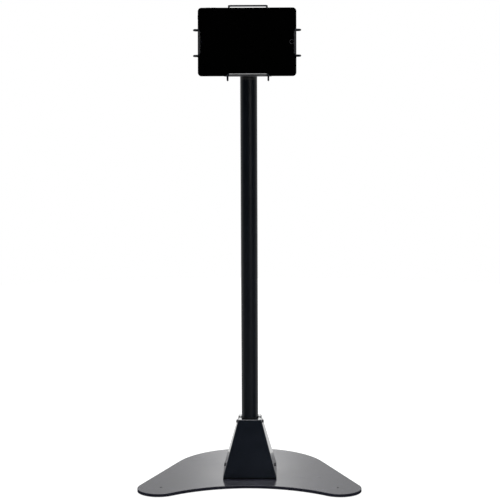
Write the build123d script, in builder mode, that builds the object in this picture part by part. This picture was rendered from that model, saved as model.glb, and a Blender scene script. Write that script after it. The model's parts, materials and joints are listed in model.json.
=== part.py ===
from build123d import *
from math import acos, atan, atan2, cos, degrees, hypot, radians, sin, tan
import os

# Floor stand that holds a tablet on a tall round pole.
# Millimetres. +Z is up and the user stands on the -Y side.
# The origin is on the floor, at the middle of the base plate's outline.

# Base plate: two round tips, straight flanks, round back and hollow front
base_width = 586
base_depth = 443
base_thick = 8
tip_radius = 58
back_radius = 212.5
front_hollow = 77
base_edge_break = 0.8
anchor_hole_dia = 5.5
anchor_inset = 61.5

# Floor pads, placed by shares of the base's width and depth
pad_dia = 24
pad_thick = 1.5
pad_shares = [(-0.35, -0.37), (0.35, -0.37), (-0.38, -0.1), (0.38, -0.1), (0, -0.27),
              (-0.2, 0.33), (0.2, 0.33)]

# Pole, standing nearer to the front than to the back
pole_dia = 44.45
pole_wall = 2
pole_top_z = 1066
pole_to_back = 238.5

# Flange under the pole, held by countersunk screws from below
flange_thick = 8
flange_corner = 10
weld_leg = 5
flange_bolt_dia = 8
flange_head_dia = 15.5
flange_head_angle = 90
flange_bolt_inset = 13
flange_skirt_gap = 3

# Sheet-steel cover over the pole's foot, in a front and a rear half
cover_base_side = 143.2
cover_top_side = 61.8
cover_top_z = 161.5
cover_sheet = 1.5
cover_corner = 3
cover_bend = 2
cover_lift = 4
cover_seam = 0.6

# Skirt on the base plate that the cover's lower screws go into
skirt_height = 24
skirt_sheet = 2
skirt_foot = 11
skirt_screw_dia = 4
skirt_screw_short = 0.8
skirt_screw_key = 2.5
skirt_head_dia = 8
skirt_head_height = 2.4

# Block round the pole that the cover's upper screws go into
block_height = 20

# Small cap screws in the cover's sides
cover_screw_dia = 3
cover_screw_head_dia = 5.5
cover_screw_head_height = 3
cover_screw_length = 9
cover_screw_key = 2.5
cover_screw_low_rise = 20.25
cover_screw_high_drop = 11.4
cover_screw_offset = 6

# Rubber ring where the pole leaves the cover
ring_width = 2
ring_height = 2.4

# Push plugs in the cover's top, one on each side of the pole
cover_plug_head_dia = 4.8
cover_plug_head_height = 1.6
cover_plug_stem_dia = 2.4
cover_plug_grip = 6
cover_plug_ring_gap = 1

# Plastic cap on the pole, with the neck through it
cap_rim = 10
cap_rim_round = 2.2
cap_plug = 14

# Neck that carries the head, held by two screws at the back
neck_dia = 30
neck_wall = 2.5
neck_depth = 120
bushing_height = 20
neck_screw_dia = 5
neck_screw_head_dia = 9.5
neck_screw_head_height = 2.8
neck_screw_key = 3
neck_screw_past = 1.3

# Tilting joint on top of the neck
tilt_rise = 84.5
rest_tilt = 7.5
knuckle_dia = 34
knuckle_width = 37.4
tilt_bolt_dia = 10
tilt_bolt_head = 17
tilt_bolt_head_height = 6.4
tilt_disc_thick = 1.2
cheek_thick = 4
cheek_width = 32
tilt_washer_dia = 22
tilt_washer_thick = 1.5

# Hand knob on the tilting joint
tilt_knob_dia = 42
tilt_knob_thick = 16
tilt_knob_hub_dia = 20
tilt_knob_hub_height = 4
tilt_knob_lobes = 6
tilt_knob_dent = 6
tilt_knob_round = 2
tilt_bolt_reach = 14

# Turning joint between the tilting arm and the cradle
web_knob_gap = 2
web_thick = 4
turn_disc_inset = 4
turn_disc_thick = 1.3
turn_bolt_dia = 10
turn_bolt_head_dia = 16
turn_bolt_head_height = 3
turn_bolt_tail = 3
turn_nut_size = 17
turn_nut_height = 7.5
turn_washer_dia = 20
turn_washer_thick = 1.2

# Tablet, held with its long side level; its face is this far before the tilt axis
face_reach = 100
tablet_width = 250.6
tablet_height = 174.1
tablet_thick = 7.5
tablet_corner = 9.5
tablet_bevel = 3.5
glass_thick = 1
glass_inset = 0.8
button_dia = 10.6
button_from_edge = 11.3
button_thick = 1.1
button_recess = 0.3
button_travel = 0.4

# The tablet's middle from the pole's middle, to the right
tablet_shift = -2.1

# Cradle: a foam sheet, a front plate, a guide block and a back plate
foam_thick = 3
foam_margin = 5
front_plate_thick = 2
back_plate_thick = 2.5
cradle_width = 150
cradle_height = 110
cradle_corner = 8
cradle_screw_dia = 4
cradle_screw_head_dia = 7.6
cradle_screw_head_angle = 90
cradle_screw_inset = 8

# Sliding arms, one layer for the sides and one behind it for top and bottom
arm_thick = 3
arm_width = 30
arm_inner_end = 11
arm_head_width = 18
arm_head_spare = 6
arm_head_back = 6
arm_corner = 3
arm_slot_spare = 0.3
side_arm_travel = 40
end_arm_travel = 25
side_lock_inset = 13
end_lock_inset = 11

# Hooks bent from round wire, and the sleeves on their front bars
wire_dia = 4.5
wire_bend = 4
wire_turn = 6.5
wire_turn_share = 0.49
ear_reach = 12.3
side_hook_spacing = 65.4
bottom_hook_spacing = 103.7
top_hook_spacing = 96.8
side_hook_shift = -2.5
end_hook_shift = 0
top_bar_rise = 3.9
wire_leg = 22
sleeve_dia = 6.5
sleeve_end_gap = 0.5

# Moulded rests behind the tablet's edge
rest_width = 26
rest_setback = 0.4
rest_bevel_gap = 0.5

# Lock screws on the back of the cradle
lock_dia = 5
lock_knob_dia = 20
lock_knob_thick = 11
lock_knob_lobes = 8
lock_knob_dent = 2.5
lock_knob_round = 1
lock_washer_dia = 12
lock_washer_thick = 1
lock_nut_dia = 8
lock_nut_height = 2.7

# Clearances
fit_gap = 0.05
seat_gap = 0.1
play_gap = 0.3
hole_gap = 0.3
cut_over = 1

# Heights and places that follow from the sizes
plate_z = pad_thick
plate_top_z = plate_z + base_thick
flange_top_z = plate_top_z + flange_thick
pole_y = base_depth / 2 - pole_to_back
cover_z = plate_top_z + cover_lift
cover_taper = degrees(atan((cover_base_side - cover_top_side) / 2 / (cover_top_z - cover_z)))
wall_run = cover_sheet / cos(radians(cover_taper))
tilt_z = pole_top_z + tilt_rise

# Layers of the head, counted from the tilt axis towards the user
tablet_back = face_reach - tablet_thick
foam_back = tablet_back - foam_thick
front_plate_back = foam_back - front_plate_thick
side_arm_back = front_plate_back - play_gap - arm_thick
end_arm_back = side_arm_back - 2 * play_gap - arm_thick
back_plate_front = end_arm_back - play_gap
back_plate_back = back_plate_front - back_plate_thick
web_front = back_plate_back - play_gap - turn_disc_thick
web_back = web_front - web_thick

# Places of the lock screws, and the web that stays clear of their knobs
side_lock_reach = cradle_width / 2 - side_lock_inset
end_lock_reach = cradle_height / 2 - end_lock_inset
web_dia = 2 * (min(side_lock_reach, end_lock_reach) - lock_knob_dia / 2 - web_knob_gap)
turn_disc_dia = web_dia - 2 * turn_disc_inset

# Planes: the pole's foot, the tilting head and the tilt axis
pole_foot = Plane.XY.shift_origin((0, pole_y, 0))
head = Plane(origin=(0, pole_y, tilt_z), x_dir=(1, 0, 0),
             z_dir=(0, -cos(radians(rest_tilt)), sin(radians(rest_tilt))))
tilt_axis = Plane(origin=(0, pole_y, tilt_z), x_dir=(0, 1, 0), z_dir=(1, 0, 0))
flank = Plane(origin=(0, pole_y, tilt_z), x_dir=head.z_dir, z_dir=(1, 0, 0))


def save(part, name):
    """Label a finished piece and write its file."""
    part.label = name
    export_step(part, "parts/" + name + ".step")


def square_corners(spacing):
    """The four places of a square bolt pattern."""
    return GridLocations(spacing, spacing, 2, 2)


def cap_screw(plane, head_dia, head_height, shank_dia, length, key):
    """Cap screw whose head stands on the plane and whose shank goes below it."""
    with BuildSketch(plane) as head_shape:
        Circle(head_dia / 2)
    extrude(head_shape.sketch, amount=head_height)
    with BuildSketch(plane) as shank:
        Circle(shank_dia / 2)
    extrude(shank.sketch, amount=-length)
    with BuildSketch(plane.offset(head_height)) as socket:
        RegularPolygon(key / 2, 6, major_radius=False)
    extrude(socket.sketch, amount=-head_height / 2, mode=Mode.SUBTRACT)


def bore(plane, dia, depth):
    """Round hole that goes below the plane."""
    with BuildSketch(plane.offset(cut_over)) as hole:
        Circle(dia / 2)
    extrude(hole.sketch, amount=-depth - cut_over, mode=Mode.SUBTRACT)


def cover_side(z):
    """Outer width of the cover at a height."""
    return cover_base_side - 2 * (z - cover_z) * tan(radians(cover_taper))


# Skirt, and the flange inside it
skirt_side = cover_side(plate_top_z) - 2 * (wall_run + seat_gap)
skirt_opening = skirt_side - 2 * (skirt_sheet + skirt_foot)
skirt_screw_span = skirt_opening + skirt_foot
flange_side = skirt_opening - 2 * flange_skirt_gap
flange_bolt_spacing = flange_side - 2 * flange_bolt_inset

os.makedirs("parts", exist_ok=True)

# Base plate
tip_x = base_width / 2 - tip_radius
tip_y = tip_radius - base_depth / 2
anchor_x = base_width / 2 - anchor_inset
back_centre_y = base_depth / 2 - back_radius
front_middle_y = front_hollow - base_depth / 2
tip_drop = tip_y - front_middle_y
front_radius = (tip_x**2 + tip_drop**2 - tip_radius**2) / 2 / (tip_radius - tip_drop)
front_centre_y = front_middle_y - front_radius
tip_to_back = hypot(tip_x, back_centre_y - tip_y)
flank_angle = degrees(acos((back_radius - tip_radius) / tip_to_back)
                      - atan2(back_centre_y - tip_y, tip_x))
joint_angle = degrees(atan2(front_centre_y - tip_y, -tip_x))

with BuildPart() as base_plate:
    with BuildSketch(Plane.XY.offset(plate_z)):
        with BuildLine():
            back = CenterArc((0, back_centre_y), back_radius, 90, flank_angle - 90)
            tip = CenterArc((tip_x, tip_y), tip_radius, flank_angle, joint_angle - flank_angle)
            Line(back @ 1, tip @ 0)
            CenterArc((0, front_centre_y), front_radius, joint_angle + 180, -90 - joint_angle)
            mirror(about=Plane.YZ)
        make_face()
    extrude(amount=base_thick)
    fillet(base_plate.faces().sort_by(Axis.Z)[-1].edges(), base_edge_break)
    with Locations(Plane.XY.offset(plate_top_z)):
        with Locations((-anchor_x, tip_y), (anchor_x, tip_y)):
            Hole(anchor_hole_dia / 2, depth=base_thick)
    underside = Plane(origin=(0, pole_y, plate_z), z_dir=(0, 0, -1))
    with Locations(underside):
        with square_corners(flange_bolt_spacing):
            CounterSinkHole(flange_bolt_dia / 2 + fit_gap, flange_head_dia / 2 + fit_gap,
                            depth=base_thick, counter_sink_angle=flange_head_angle)
    with Locations(pole_foot.offset(plate_top_z)):
        with square_corners(skirt_screw_span):
            Hole(skirt_screw_dia / 2 + fit_gap, depth=base_thick)
save(base_plate.part, "base_plate")

# Floor pads
with BuildPart() as floor_pads:
    with BuildSketch():
        with Locations([(x * base_width, y * base_depth) for x, y in pad_shares]):
            Circle(pad_dia / 2)
    extrude(amount=pad_thick)
save(floor_pads.part, "floor_pads")

# Flange with the weld that joins the pole to it
with BuildPart() as pole_flange:
    with BuildSketch(pole_foot.offset(plate_top_z)):
        RectangleRounded(flange_side, flange_side, flange_corner)
    extrude(amount=flange_thick)
    with BuildSketch(Plane.XZ.offset(-pole_y)):
        with BuildLine():
            Polyline((pole_dia / 2 + fit_gap, flange_top_z), (pole_dia / 2 + weld_leg, flange_top_z),
                     (pole_dia / 2 + fit_gap, flange_top_z + weld_leg), close=True)
        make_face()
    revolve(axis=Axis((0, pole_y, 0), (0, 0, 1)))
    with Locations(pole_foot.offset(flange_top_z)):
        with square_corners(flange_bolt_spacing):
            Hole(flange_bolt_dia / 2 + fit_gap, depth=flange_thick)
save(pole_flange.part, "pole_flange")

# Countersunk screws through the base plate into the flange
with BuildPart() as flange_screws:
    head_depth = (flange_head_dia - flange_bolt_dia) / 2 / tan(radians(flange_head_angle / 2))
    for place in square_corners(flange_bolt_spacing):
        x = place.position.X
        y = place.position.Y + pole_y
        with BuildSketch(Plane.XY.offset(plate_z).shift_origin((x, y, plate_z))):
            Circle(flange_head_dia / 2)
        extrude(amount=head_depth, taper=flange_head_angle / 2)
        with BuildSketch(Plane.XY.offset(plate_z).shift_origin((x, y, plate_z))):
            Circle(flange_bolt_dia / 2)
        extrude(amount=base_thick + flange_thick)
save(flange_screws.part, "flange_screws")

# Pole
with BuildPart() as pole:
    with BuildSketch(pole_foot.offset(flange_top_z)):
        Circle(pole_dia / 2)
        Circle(pole_dia / 2 - pole_wall, mode=Mode.SUBTRACT)
    extrude(amount=pole_top_z - flange_top_z)
    neck_foot_z = pole_top_z - neck_depth
    neck_screw_heights = [pole_top_z - cap_plug / 2, neck_foot_z + bushing_height / 2]
    neck_screw_length = (pole_dia - neck_dia) / 2 + neck_wall + neck_screw_past
    for height in neck_screw_heights:
        rear = Plane(origin=(0, pole_y + pole_dia / 2, height), x_dir=(1, 0, 0), z_dir=(0, 1, 0))
        bore(rear, neck_screw_dia + 2 * fit_gap, pole_dia / 2)
save(pole.part, "pole")


def frustum(z, side, height, corner, mode=Mode.ADD):
    """Tapered square block, or hollow, with evenly rounded corners and the cover's slope."""
    top_side = side - 2 * height * tan(radians(cover_taper))
    with BuildSketch(pole_foot.offset(z)) as foot:
        RectangleRounded(side, side, corner)
    with BuildSketch(pole_foot.offset(z + height)) as top:
        RectangleRounded(top_side, top_side, corner)
    loft([foot.sketch, top.sketch], ruled=True, mode=mode)


# Cover screw places: on both sides, each half of the cover has a low and a high one
screw_planes = []
for side in (-1, 1):
    for z in (plate_top_z + cover_screw_low_rise, cover_top_z - cover_screw_high_drop):
        for half in (-1, 1):
            screw_planes.append(Plane(
                origin=(side * cover_side(z) / 2, pole_y + half * cover_screw_offset, z), x_dir=(0, 1, 0),
                z_dir=(side * cos(radians(cover_taper)), 0, sin(radians(cover_taper)))))

# Push plug places, beside the rubber ring and on the seam between the cover's halves
plug_reach = pole_dia / 2 + ring_width + cover_plug_ring_gap + cover_plug_head_dia / 2
plug_planes = [Plane(origin=(side * plug_reach, pole_y, cover_top_z)) for side in (-1, 1)]
plug_length = cover_sheet + seat_gap + cover_plug_grip


# Skirt that locates the cover on the base plate
skirt_run = skirt_sheet / cos(radians(cover_taper))
inner_side = skirt_side - 2 * (skirt_run + skirt_sheet * tan(radians(cover_taper)))
with BuildPart() as cover_skirt:
    frustum(plate_top_z, skirt_side, skirt_height, cover_corner)
    frustum(plate_top_z + skirt_sheet, inner_side, skirt_height, cover_corner, mode=Mode.SUBTRACT)
    with BuildSketch(pole_foot.offset(plate_top_z)):
        Rectangle(skirt_opening, skirt_opening)
    extrude(amount=skirt_height, mode=Mode.SUBTRACT)
    with Locations(pole_foot.offset(plate_top_z + skirt_sheet)):
        with square_corners(skirt_screw_span):
            Hole(skirt_screw_dia / 2 + fit_gap, depth=skirt_sheet)
    for plane in screw_planes:
        bore(plane, cover_screw_dia + 2 * fit_gap, cover_screw_length)
save(cover_skirt.part, "cover_skirt")

# Block on the pole under the cover's top
block_z = cover_top_z - cover_sheet - seat_gap - block_height
with BuildPart() as cover_block:
    frustum(block_z, cover_side(block_z) - 2 * (wall_run + seat_gap), block_height, cover_corner)
    bore(pole_foot.offset(block_z + block_height), pole_dia + 2 * fit_gap, block_height)
    for plane in screw_planes:
        bore(plane, cover_screw_dia + 2 * fit_gap, cover_screw_length)
    for plane in plug_planes:
        bore(plane, cover_plug_stem_dia + 2 * fit_gap, plug_length)
save(cover_block.part, "cover_block")

# Screws that hold the skirt to the base plate
with BuildPart() as skirt_screws:
    for place in square_corners(skirt_screw_span):
        seat = Plane(origin=(place.position.X, place.position.Y + pole_y, plate_top_z + skirt_sheet))
        cap_screw(seat, skirt_head_dia, skirt_head_height, skirt_screw_dia,
                  skirt_sheet + base_thick - skirt_screw_short, skirt_screw_key)
save(skirt_screws.part, "skirt_screws")

# Cover halves, split at the middle of the pole
for half, name in ((-1, "front_cover"), (1, "rear_cover")):
    with BuildPart() as cover:
        frustum(cover_z, cover_base_side, cover_top_z - cover_z, cover_corner)
        fillet(cover.faces().sort_by(Axis.Z)[-1].edges(), cover_bend)
        frustum(cover_z, cover_base_side - 2 * wall_run, cover_top_z - cover_z - cover_sheet,
                cover_corner - cover_sheet, mode=Mode.SUBTRACT)
        bore(pole_foot.offset(cover_top_z), pole_dia + 2 * hole_gap, 2 * cover_sheet)
        for plane in screw_planes:
            bore(plane, cover_screw_dia + 2 * fit_gap, cover_screw_length)
        for plane in plug_planes:
            bore(plane, cover_plug_stem_dia + 2 * fit_gap, plug_length)
        seam = Plane(origin=(0, pole_y + half * cover_seam / 2, 0), x_dir=(1, 0, 0), z_dir=(0, half, 0))
        split(bisect_by=seam, keep=Keep.TOP)
    save(cover.part, name)

with BuildPart() as cover_screws:
    for plane in screw_planes:
        cap_screw(plane, cover_screw_head_dia, cover_screw_head_height, cover_screw_dia,
                  cover_screw_length, cover_screw_key)
save(cover_screws.part, "cover_screws")

# Push plugs through the cover's top into the block
with BuildPart() as cover_plugs:
    for plane in plug_planes:
        with BuildSketch(plane):
            Circle(cover_plug_head_dia / 2)
        extrude(amount=cover_plug_head_height)
        with BuildSketch(plane):
            Circle(cover_plug_stem_dia / 2)
        extrude(amount=-plug_length)
save(cover_plugs.part, "cover_plugs")

# Rubber ring round the pole on the cover's top
with BuildPart() as pole_ring:
    with BuildSketch(pole_foot.offset(cover_top_z)):
        Circle(pole_dia / 2 + ring_width)
        Circle(pole_dia / 2 + fit_gap, mode=Mode.SUBTRACT)
    extrude(amount=ring_height)
    fillet(pole_ring.edges().group_by(Axis.Z)[-1].sort_by(SortBy.LENGTH)[-1], ring_height / 2)
save(pole_ring.part, "pole_ring")

# Cap on the pole's end
plug_dia = pole_dia - 2 * pole_wall - 2 * fit_gap
with BuildPart() as pole_cap:
    with BuildSketch(pole_foot.offset(pole_top_z)):
        Circle(pole_dia / 2)
    extrude(amount=cap_rim)
    fillet(pole_cap.edges().group_by(Axis.Z)[-1], cap_rim_round)
    with BuildSketch(pole_foot.offset(pole_top_z)):
        Circle(plug_dia / 2)
    extrude(amount=-cap_plug)
    bore(pole_foot.offset(pole_top_z + cap_rim), neck_dia + 2 * fit_gap, cap_rim + cap_plug)
    rear = Plane(origin=(0, pole_y + pole_dia / 2, neck_screw_heights[0]), x_dir=(1, 0, 0), z_dir=(0, 1, 0))
    bore(rear, neck_screw_dia + 2 * fit_gap, pole_dia / 2)
save(pole_cap.part, "pole_cap")

# Bushing that centres the neck's lower end in the pole
with BuildPart() as neck_bushing:
    with BuildSketch(pole_foot.offset(neck_foot_z)):
        Circle(plug_dia / 2)
        Circle(neck_dia / 2 + fit_gap, mode=Mode.SUBTRACT)
    extrude(amount=bushing_height)
    rear = Plane(origin=(0, pole_y + pole_dia / 2, neck_screw_heights[1]), x_dir=(1, 0, 0), z_dir=(0, 1, 0))
    bore(rear, neck_screw_dia + 2 * fit_gap, pole_dia / 2)
save(neck_bushing.part, "neck_bushing")

# Neck tube with the knuckle of the tilting joint welded on its end
with BuildPart() as neck:
    with BuildSketch(pole_foot.offset(neck_foot_z)):
        Circle(neck_dia / 2)
    extrude(amount=tilt_z - neck_foot_z)
    with BuildSketch(tilt_axis.offset(-knuckle_width / 2)):
        Circle(knuckle_dia / 2)
    extrude(amount=knuckle_width)
    with BuildSketch(pole_foot.offset(neck_foot_z - cut_over)):
        Circle(neck_dia / 2 - neck_wall)
    extrude(amount=tilt_z - knuckle_dia / 2 - neck_foot_z, mode=Mode.SUBTRACT)
    bore(tilt_axis.offset(knuckle_width / 2), tilt_bolt_dia + 2 * fit_gap, knuckle_width + cut_over)
    for height in neck_screw_heights:
        rear = Plane(origin=(0, pole_y + pole_dia / 2, height), x_dir=(1, 0, 0), z_dir=(0, 1, 0))
        bore(rear, neck_screw_dia + 2 * fit_gap, pole_dia / 2)
save(neck.part, "neck")

with BuildPart() as neck_screws:
    for height in neck_screw_heights:
        rear = Plane(origin=(0, pole_y + pole_dia / 2, height), x_dir=(1, 0, 0), z_dir=(0, 1, 0))
        cap_screw(rear, neck_screw_head_dia, neck_screw_head_height, neck_screw_dia,
                  neck_screw_length, neck_screw_key)
save(neck_screws.part, "neck_screws")

# Friction discs between the knuckle and the tilting arm's cheeks
with BuildPart() as tilt_discs:
    for side in (-1, 1):
        with BuildSketch(tilt_axis.offset(side * knuckle_width / 2)):
            Circle(knuckle_dia / 2)
            Circle(tilt_bolt_dia / 2 + fit_gap, mode=Mode.SUBTRACT)
        extrude(amount=side * tilt_disc_thick)
save(tilt_discs.part, "tilt_discs")

# Tilting arm: two cheeks and a round web that the cradle turns on
cheek_inner = knuckle_width / 2 + tilt_disc_thick + seat_gap
cheek_outer = cheek_inner + cheek_thick
with BuildPart() as tilt_arm:
    for side in (-1, 1):
        with BuildSketch(flank.offset(side * cheek_inner)):
            Circle(cheek_width / 2)
            with Locations((web_back / 2, 0)):
                Rectangle(web_back, cheek_width)
        extrude(amount=side * cheek_thick)
    with BuildSketch(head.offset(web_back)):
        Circle(web_dia / 2)
    extrude(amount=web_thick)
    bore(tilt_axis.offset(cheek_outer), tilt_bolt_dia + 2 * fit_gap, 2 * cheek_outer + cut_over)
    bore(head.offset(web_front), turn_bolt_dia + 2 * fit_gap, web_thick + cut_over)
save(tilt_arm.part, "tilt_arm")

# Bolt through the tilting joint, its head on the left
with BuildPart() as tilt_bolt:
    with BuildSketch(tilt_axis.offset(-cheek_outer)):
        RegularPolygon(tilt_bolt_head / 2, 6, major_radius=False)
    extrude(amount=-tilt_bolt_head_height)
    with BuildSketch(tilt_axis.offset(-cheek_outer)):
        Circle(tilt_bolt_dia / 2)
    extrude(amount=2 * cheek_outer + tilt_washer_thick + tilt_bolt_reach)
save(tilt_bolt.part, "tilt_bolt")

with BuildPart() as tilt_washer:
    with BuildSketch(tilt_axis.offset(cheek_outer)):
        Circle(tilt_washer_dia / 2)
        Circle(tilt_bolt_dia / 2 + fit_gap, mode=Mode.SUBTRACT)
    extrude(amount=tilt_washer_thick)
save(tilt_washer.part, "tilt_washer")

# Knob that clamps the tilting joint, on the right
knob_start = cheek_outer + tilt_washer_thick + play_gap
with BuildPart() as tilt_knob:
    with BuildSketch(tilt_axis.offset(knob_start)):
        Circle(tilt_knob_hub_dia / 2)
    extrude(amount=tilt_knob_hub_height)
    with BuildSketch(tilt_axis.offset(knob_start + tilt_knob_hub_height)):
        Circle(tilt_knob_dia / 2)
        with PolarLocations(tilt_knob_dia / 2 + tilt_knob_dent / 2, tilt_knob_lobes):
            Circle(tilt_knob_dent, mode=Mode.SUBTRACT)
    extrude(amount=tilt_knob_thick)
    fillet(tilt_knob.edges().group_by(Axis.X)[-1], tilt_knob_round)
    with BuildSketch(tilt_axis.offset(knob_start - cut_over)):
        Circle(tilt_bolt_dia / 2 + fit_gap)
    extrude(amount=tilt_bolt_reach + 2 * cut_over, mode=Mode.SUBTRACT)
save(tilt_knob.part, "tilt_knob")

# Turning joint: disc, bolt, washer and nut
with BuildPart() as turn_disc:
    with BuildSketch(head.offset(web_front)):
        Circle(turn_disc_dia / 2)
        Circle(turn_bolt_dia / 2 + fit_gap, mode=Mode.SUBTRACT)
    extrude(amount=turn_disc_thick)
save(turn_disc.part, "turn_disc")

turn_washer_front = web_back - seat_gap
turn_nut_front = turn_washer_front - turn_washer_thick
with BuildPart() as turn_bolt:
    with BuildSketch(head.offset(back_plate_front)):
        Circle(turn_bolt_head_dia / 2)
    extrude(amount=turn_bolt_head_height)
    with BuildSketch(head.offset(back_plate_front)):
        Circle(turn_bolt_dia / 2)
    extrude(amount=turn_nut_front - turn_nut_height - turn_bolt_tail - back_plate_front)
save(turn_bolt.part, "turn_bolt")

with BuildPart() as turn_washer:
    with BuildSketch(head.offset(turn_washer_front)):
        Circle(turn_washer_dia / 2)
        Circle(turn_bolt_dia / 2 + fit_gap, mode=Mode.SUBTRACT)
    extrude(amount=-turn_washer_thick)
save(turn_washer.part, "turn_washer")

with BuildPart() as turn_nut:
    with BuildSketch(head.offset(turn_nut_front)):
        RegularPolygon(turn_nut_size / 2, 6, major_radius=False)
        Circle(turn_bolt_dia / 2 + fit_gap, mode=Mode.SUBTRACT)
    extrude(amount=-turn_nut_height)
save(turn_nut.part, "turn_nut")

# Places in the cradle: lock screws on the arms' lines, plate screws at the corners
lock_places = [(side_lock_reach, side_hook_shift), (end_hook_shift, end_lock_reach),
               (-side_lock_reach, side_hook_shift), (end_hook_shift, -end_lock_reach)]
screw_span_x = cradle_width - 2 * cradle_screw_inset
screw_span_y = cradle_height - 2 * cradle_screw_inset


def cradle_outline():
    """Rounded outline that the cradle's plates and guide share."""
    RectangleRounded(cradle_width, cradle_height, cradle_corner)


def cradle_screw_holes():
    """Holes for the four screws that hold the cradle together."""
    with GridLocations(screw_span_x, screw_span_y, 2, 2):
        Circle(cradle_screw_dia / 2 + fit_gap, mode=Mode.SUBTRACT)


def lock_holes(dia):
    """Holes for the four lock screws."""
    with Locations(lock_places):
        Circle(dia / 2, mode=Mode.SUBTRACT)


with BuildPart() as cradle_back:
    with BuildSketch(head.offset(back_plate_back)):
        cradle_outline()
        Circle(turn_bolt_dia / 2 + fit_gap, mode=Mode.SUBTRACT)
        lock_holes(lock_dia + 2 * hole_gap)
        cradle_screw_holes()
    extrude(amount=back_plate_thick)
save(cradle_back.part, "cradle_back")

guide_width = arm_width + 2 * play_gap
with BuildPart() as cradle_guide:
    with BuildSketch(head.offset(back_plate_front)):
        cradle_outline()
        lock_holes(lock_dia + 2 * hole_gap)
        cradle_screw_holes()
    extrude(amount=front_plate_back - back_plate_front)
    with BuildSketch(head.offset(side_arm_back - play_gap)):
        with Locations((0, side_hook_shift)):
            Rectangle(cradle_width + 2 * cut_over, guide_width)
    extrude(amount=arm_thick + 2 * play_gap + cut_over, mode=Mode.SUBTRACT)
    with BuildSketch(head.offset(back_plate_front - cut_over)):
        with Locations((end_hook_shift, 0)):
            Rectangle(guide_width, cradle_height + 2 * cut_over)
    extrude(amount=arm_thick + 2 * play_gap + cut_over, mode=Mode.SUBTRACT)
save(cradle_guide.part, "cradle_guide")

with BuildPart() as cradle_front:
    with BuildSketch(head.offset(front_plate_back)):
        cradle_outline()
        lock_holes(lock_nut_dia + 2 * fit_gap)
    extrude(amount=front_plate_thick)
    with Locations(head.offset(front_plate_back + front_plate_thick)):
        with GridLocations(screw_span_x, screw_span_y, 2, 2):
            CounterSinkHole(cradle_screw_dia / 2 + fit_gap, cradle_screw_head_dia / 2 + fit_gap,
                            depth=front_plate_thick, counter_sink_angle=cradle_screw_head_angle)
save(cradle_front.part, "cradle_front")

# Countersunk screws from the front plate to the back plate
with BuildPart() as cradle_screws:
    sink = (cradle_screw_head_dia - cradle_screw_dia) / 2 / tan(radians(cradle_screw_head_angle / 2))
    with BuildSketch(head.offset(foam_back)):
        with GridLocations(screw_span_x, screw_span_y, 2, 2):
            Circle(cradle_screw_head_dia / 2)
    extrude(amount=-sink, taper=cradle_screw_head_angle / 2)
    with BuildSketch(head.offset(foam_back)):
        with GridLocations(screw_span_x, screw_span_y, 2, 2):
            Circle(cradle_screw_dia / 2)
    extrude(amount=back_plate_back - foam_back)
save(cradle_screws.part, "cradle_screws")

with BuildPart() as foam_pad:
    with BuildSketch(head.offset(foam_back)):
        RectangleRounded(cradle_width - 2 * foam_margin, cradle_height - 2 * foam_margin, cradle_corner)
        lock_holes(lock_nut_dia + 2 * hole_gap)
        with GridLocations(screw_span_x, screw_span_y, 2, 2):
            Circle(cradle_screw_head_dia / 2, mode=Mode.SUBTRACT)
    extrude(amount=foam_thick)
save(foam_pad.part, "foam_pad")

# Press nuts in the front plate for the lock screws
with BuildPart() as lock_nuts:
    with BuildSketch(head.offset(front_plate_back)):
        with Locations(lock_places):
            Circle(lock_nut_dia / 2)
            Circle(lock_dia / 2 + fit_gap, mode=Mode.SUBTRACT)
    extrude(amount=lock_nut_height)
save(lock_nuts.part, "lock_nuts")

with BuildPart() as lock_washers:
    with BuildSketch(head.offset(back_plate_back)):
        with Locations(lock_places):
            Circle(lock_washer_dia / 2)
            Circle(lock_dia / 2 + hole_gap, mode=Mode.SUBTRACT)
    extrude(amount=-lock_washer_thick)
save(lock_washers.part, "lock_washers")

# Lock screws, each with its own moulded knob
knob_front = back_plate_back - lock_washer_thick - play_gap
for name, place in zip(("right", "top", "left", "bottom"), lock_places):
    seat = Plane(origin=head.from_local_coords((*place, knob_front)), x_dir=head.x_dir, z_dir=head.z_dir)
    with BuildPart() as lock_screw:
        with BuildSketch(seat):
            Circle(lock_knob_dia / 2)
            with PolarLocations(lock_knob_dia / 2 + lock_knob_dent / 2, lock_knob_lobes):
                Circle(lock_knob_dent, mode=Mode.SUBTRACT)
        extrude(amount=-lock_knob_thick)
        rear_edges = lock_screw.faces().sort_by(Axis(seat.origin, seat.z_dir))[0].edges()
        fillet(rear_edges, lock_knob_round)
        with BuildSketch(seat):
            Circle(lock_dia / 2)
        extrude(amount=front_plate_back + lock_nut_height - knob_front)
    save(lock_screw.part, name + "_lock_screw")


def arm_plane(angle):
    """Head's plane turned so that its X points outwards along an arm."""
    outwards = head.x_dir * cos(radians(angle)) + head.y_dir * sin(radians(angle))
    return Plane(origin=head.origin, x_dir=outwards, z_dir=head.z_dir)


def hook_point(plane, out, across, depth):
    """Point of a wire, from the arm's own directions."""
    return plane.from_local_coords((out, across, depth))


# Arms: name, direction, tablet edge, sideways shift, hook spacing, layer, lock place, travel
arms = [
    ("right", 0, tablet_width / 2 + tablet_shift, side_hook_shift, side_hook_spacing, side_arm_back,
     side_lock_reach, side_arm_travel),
    ("top", 90, tablet_height / 2, -end_hook_shift, top_hook_spacing, end_arm_back,
     end_lock_reach, end_arm_travel),
    ("left", 180, tablet_width / 2 - tablet_shift, -side_hook_shift, side_hook_spacing, side_arm_back,
     side_lock_reach, side_arm_travel),
    ("bottom", 270, tablet_height / 2, end_hook_shift, bottom_hook_spacing, end_arm_back,
     end_lock_reach, end_arm_travel),
]

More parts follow.
